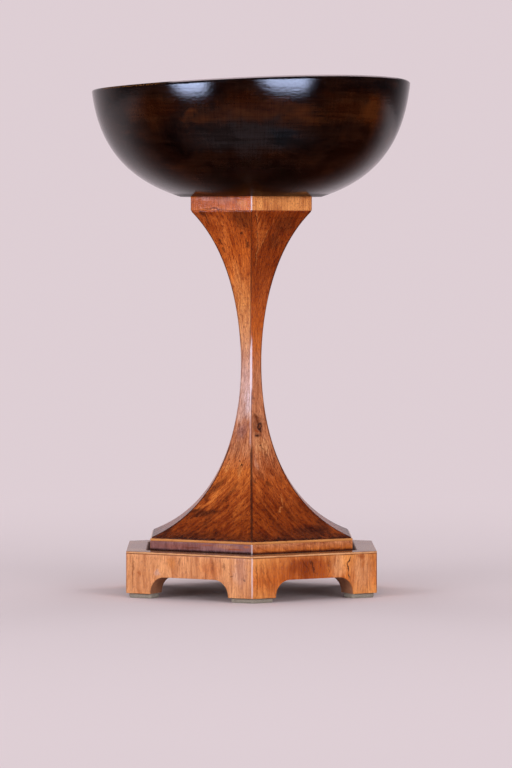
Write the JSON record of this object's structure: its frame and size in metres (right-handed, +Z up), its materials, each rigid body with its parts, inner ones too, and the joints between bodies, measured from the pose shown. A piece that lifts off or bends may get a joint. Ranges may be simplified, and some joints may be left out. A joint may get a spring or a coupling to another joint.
{
  "type": "pedestal bowl",
  "caption": "Dark turned bowl on a flared hexagonal veneered stem, a step and an arched plinth with bracket feet and felt pads.",
  "frame": {"origin": "on the floor plane, at the centre of the bounding box and of the plinth, under the felt pads", "axes": "+Z up, through the centre of the bowl; one corner of each hexagon points to -Y, which is the front, and two flat faces to +X and -X"},
  "size_m": [0.27, 0.27, 0.4355],
  "materials": {
    "bowl_wood": "dark stained and polished, glossy",
    "stem_veneer": "figured veneer, french polished",
    "step_veneer": "red-brown veneer, french polished",
    "cap_veneer": "light brown veneer, satin",
    "plinth_veneer": "straight-grained veneer, satin",
    "step_leaf": "light edge, polished",
    "plinth_leaf": "polished",
    "core_wood": "sawn, unpolished",
    "dowel_wood": "plain",
    "felt": "pressed wool felt"
  },
  "bodies": {
    "root": {"bowl": "bowl_wood", "head_dowel": "dowel_wood", "cap_core": "core_wood", "cap_facing_front_right": "cap_veneer", "cap_facing_right": "cap_veneer", "cap_facing_back_right": "cap_veneer", "cap_facing_back_left": "cap_veneer", "cap_facing_left": "cap_veneer", "cap_facing_front_left": "cap_veneer", "stem_core": "core_wood", "stem_veneer_front_right": "stem_veneer", "stem_veneer_right": "stem_veneer", "stem_veneer_back_right": "stem_veneer", "stem_veneer_back_left": "stem_veneer", "stem_veneer_left": "stem_veneer", "stem_veneer_front_left": "stem_veneer", "step_core": "core_wood", "step_facing_front_right": "step_veneer", "step_facing_right": "step_veneer", "step_facing_back_right": "step_veneer", "step_facing_back_left": "step_veneer", "step_facing_left": "step_veneer", "step_facing_front_left": "step_veneer", "step_top_leaf": "step_leaf", "foot_dowel": "dowel_wood", "plinth_top_leaf": "plinth_leaf", "plinth_board": "core_wood", "plinth_rail_front_right": "core_wood", "plinth_rail_right": "core_wood", "plinth_rail_back_right": "core_wood", "plinth_rail_back_left": "core_wood", "plinth_rail_left": "core_wood", "plinth_rail_front_left": "core_wood", "plinth_facing_front_right": "plinth_veneer", "plinth_facing_right": "plinth_veneer", "plinth_facing_back_right": "plinth_veneer", "plinth_facing_back_left": "plinth_veneer", "plinth_facing_left": "plinth_veneer", "plinth_facing_front_left": "plinth_veneer", "felt_pad_front": "felt", "felt_pad_front_right": "felt", "felt_pad_back_right": "felt", "felt_pad_back": "felt", "felt_pad_back_left": "felt", "felt_pad_front_left": "felt"}
  },
  "joints": []
}
